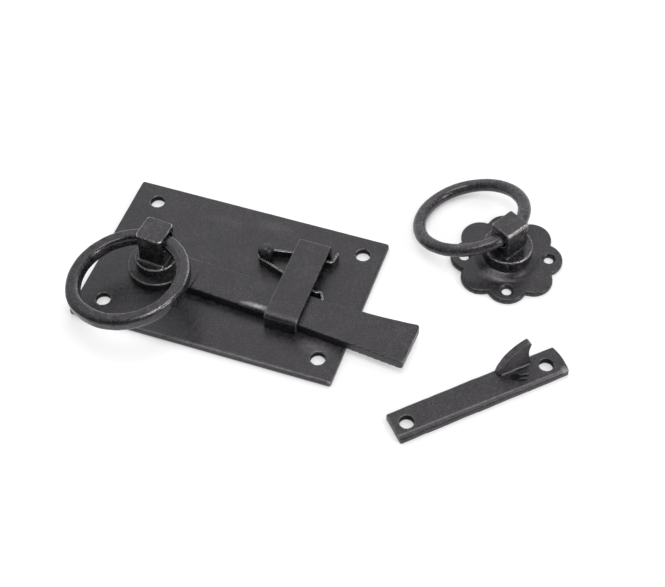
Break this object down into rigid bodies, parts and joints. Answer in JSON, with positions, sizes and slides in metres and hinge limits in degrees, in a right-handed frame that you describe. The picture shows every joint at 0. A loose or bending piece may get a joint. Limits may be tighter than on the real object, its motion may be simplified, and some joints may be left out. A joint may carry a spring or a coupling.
{
  "type": "cottage latch",
  "caption": "Sprung ring-turn gate or door latch on a flat plate, with an outer ring handle on a flower rose and a keep",
  "frame": {"origin": "middle of the latch plate's back face, in the plane that the plate, the rose and the keep lie on", "axes": "+X along the latch plate towards the bar's tip, +Y across it to the spring's side, +Z out from the door"},
  "size_m": [0.2013, 0.1358, 0.0283],
  "materials": {
    "blackened_plate": "black waxed steel sheet, semi-matt with faint mottling and soft bright edges",
    "blackened_forging": "black waxed forged steel, satin, with small hammer and file marks",
    "blackened_ring": "black waxed forged ring, satin, softly faceted",
    "blackened_spring": "black steel strip, satin, bright along its edges"
  },
  "bodies": {
    "root": {"latch_plate": "blackened_plate", "bar_guide": "blackened_plate", "spring_pin": "blackened_forging", "latch_spring": "blackened_spring", "rose": "blackened_plate", "keep_strip": "blackened_plate", "keep_tooth": "blackened_forging"},
    "latch": {"latch_bar": "blackened_forging", "inner_boss": "blackened_forging"},
    "inner_handle": {"inner_ring": "blackened_ring"},
    "outer_turn": {"outer_boss": "blackened_forging", "boss_washer": "blackened_plate"},
    "outer_handle": {"outer_ring": "blackened_ring"}
  },
  "joints": [
    {"name": "latch_turn", "type": "hinge", "parent": "root", "child": "latch", "pos_m": [-0.0305, -0.0058, 0], "axis": [0, 0, 1], "range_deg": [0, 11], "stiffness_Nm_per_rad": 0.3, "springref_deg": -17.19, "deforming": ["latch_spring"]},
    {"name": "inner_ring_swing", "type": "hinge", "parent": "latch", "child": "inner_handle", "pos_m": [-0.0305, -0.0058, 0.0222], "axis": [-0.9886, 0.057, -0.1392], "range_deg": [-20, 159]},
    {"name": "outer_boss_turn", "type": "hinge", "parent": "root", "child": "outer_turn", "pos_m": [0.1055, 0.0473, 0], "axis": [0, 0, 1], "range_deg": [-180, 30]},
    {"name": "outer_ring_swing", "type": "hinge", "parent": "outer_turn", "child": "outer_handle", "pos_m": [0.1055, 0.0473, 0.0175], "axis": [0.4632, 0.8861, 0.0157], "range_deg": [0, 148]}
  ]
}
